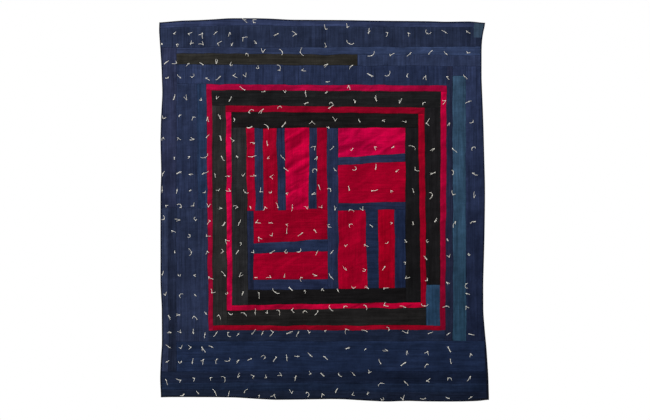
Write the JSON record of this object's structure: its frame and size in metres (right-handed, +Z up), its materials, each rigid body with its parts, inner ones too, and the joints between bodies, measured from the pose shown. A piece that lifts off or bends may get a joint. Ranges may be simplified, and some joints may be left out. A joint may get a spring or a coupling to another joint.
{
  "type": "quilt on a rack",
  "caption": "Hand-tied patchwork quilt, nested frames round a pieced centre block, hung by a back sleeve from a rod on a wall rail.",
  "frame": {"origin": "middle of the wall rail's flat rear face, which lies against the wall", "axes": "+Y into the wall, so the quilt faces -Y; +Z up; +X to the right of someone who faces the quilt"},
  "size_m": [1.772, 0.0696, 2.042],
  "materials": {
    "red_cloth": "matte",
    "crimson_cloth": "matte",
    "black_cloth": "matte",
    "faded_black_cloth": "matte",
    "brown_cloth": "matte",
    "blue_cloth": "matte",
    "navy_cloth": "matte",
    "deep_navy_cloth": "matte",
    "light_navy_cloth": "matte",
    "slate_cloth": "matte",
    "slate_patch_cloth": "matte",
    "teal_cloth": "matte",
    "backing_cloth": "matte",
    "sleeve_cloth": "matte",
    "batting": "matte",
    "tie_yarn": "matte",
    "pine": "satin",
    "dowel_wood": "satin",
    "bracket_steel": "satin",
    "screw_steel": "satin"
  },
  "bodies": {
    "rack": {"wall_rail": "pine", "bracket_left": "bracket_steel", "bracket_right": "bracket_steel", "bracket_screw_left": "screw_steel", "bracket_screw_right": "screw_steel"},
    "rod": {"rod": "dowel_wood"},
    "quilt": {"backing": "backing_cloth", "batting": "batting", "border_bottom_lower": "deep_navy_cloth", "border_bottom_upper": "deep_navy_cloth", "border_brown_strip": "brown_cloth", "border_corner_mend": "teal_cloth", "border_left_inner": "navy_cloth", "border_left_outer": "navy_cloth", "border_right_inner": "navy_cloth", "border_right_outer": "navy_cloth", "border_right_slate": "slate_cloth", "border_top_dark": "navy_cloth", "border_top_light": "light_navy_cloth", "border_top_lower": "navy_cloth", "border_top_strip": "light_navy_cloth", "centre_foot_blue_1": "blue_cloth", "centre_foot_blue_2": "blue_cloth", "centre_foot_red_1": "red_cloth", "centre_foot_red_2": "red_cloth", "centre_left_bar_lower": "blue_cloth", "centre_left_bar_upper": "blue_cloth", "centre_left_edge_blue": "blue_cloth", "centre_left_red_lower": "red_cloth", "centre_left_red_upper": "red_cloth", "centre_right_bar_lower": "blue_cloth", "centre_right_bar_upper": "blue_cloth", "centre_right_crimson": "crimson_cloth", "centre_right_red": "red_cloth", "centre_sash": "blue_cloth", "centre_stripe_blue_1": "blue_cloth", "centre_stripe_blue_2": "blue_cloth", "centre_stripe_blue_3": "blue_cloth", "centre_stripe_crimson": "crimson_cloth", "centre_stripe_red_1": "red_cloth", "centre_stripe_red_2": "red_cloth", "centre_stripe_red_3": "red_cloth", "hanging_sleeve": "sleeve_cloth", "inner_black_bottom": "black_cloth", "inner_black_left": "faded_black_cloth", "inner_black_right": "black_cloth", "inner_black_top": "black_cloth", "inner_red_bottom": "crimson_cloth", "inner_red_left": "crimson_cloth", "inner_red_right": "red_cloth", "inner_red_top": "red_cloth", "outer_black_bottom": "black_cloth", "outer_black_left": "faded_black_cloth", "outer_black_right": "black_cloth", "outer_black_top": "black_cloth", "outer_red_bottom": "red_cloth", "outer_red_left": "red_cloth", "outer_red_right": "red_cloth", "outer_red_top": "red_cloth", "slate_patch": "slate_patch_cloth"}
  },
  "joints": [
    {"name": "rod_lift", "type": "slide", "parent": "rack", "child": "rod", "axis": [0, 0, 1], "range_m": [0, 0.05]},
    {"name": "quilt_swing", "type": "hinge", "parent": "rod", "child": "quilt", "pos_m": [0, -0.0383, -0.012], "axis": [-1, 0, 0], "range_deg": [0, 20]}
  ]
}
